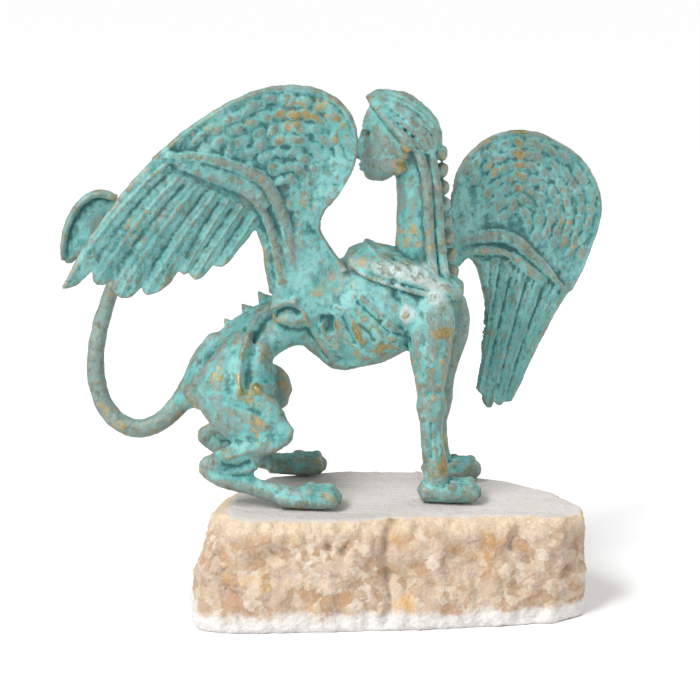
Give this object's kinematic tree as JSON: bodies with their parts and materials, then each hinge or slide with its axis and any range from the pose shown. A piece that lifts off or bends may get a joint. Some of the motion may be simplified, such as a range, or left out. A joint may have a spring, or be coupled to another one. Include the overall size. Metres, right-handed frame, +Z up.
{
  "type": "sphinx statue",
  "caption": "Cast bronze winged sphinx with a green patina, head turned back and tail raised, standing on a rough block of natural stone.",
  "frame": {"origin": "middle of the stone's flat underside", "axes": "+Z up; +X the way the sphinx walks; -Y the near side, on which the near wing stands"},
  "size_m": [0.2395, 0.1199, 0.2318],
  "materials": {
    "patinated_bronze": "turquoise verdigris over bronze, dark in the hollows, rubbed to gold and brown on edges",
    "stone": "rough broken crystalline stone, beige and ochre, paler flat top"
  },
  "bodies": {
    "root": {"sphinx": "patinated_bronze", "stone_base": "stone"}
  },
  "joints": []
}
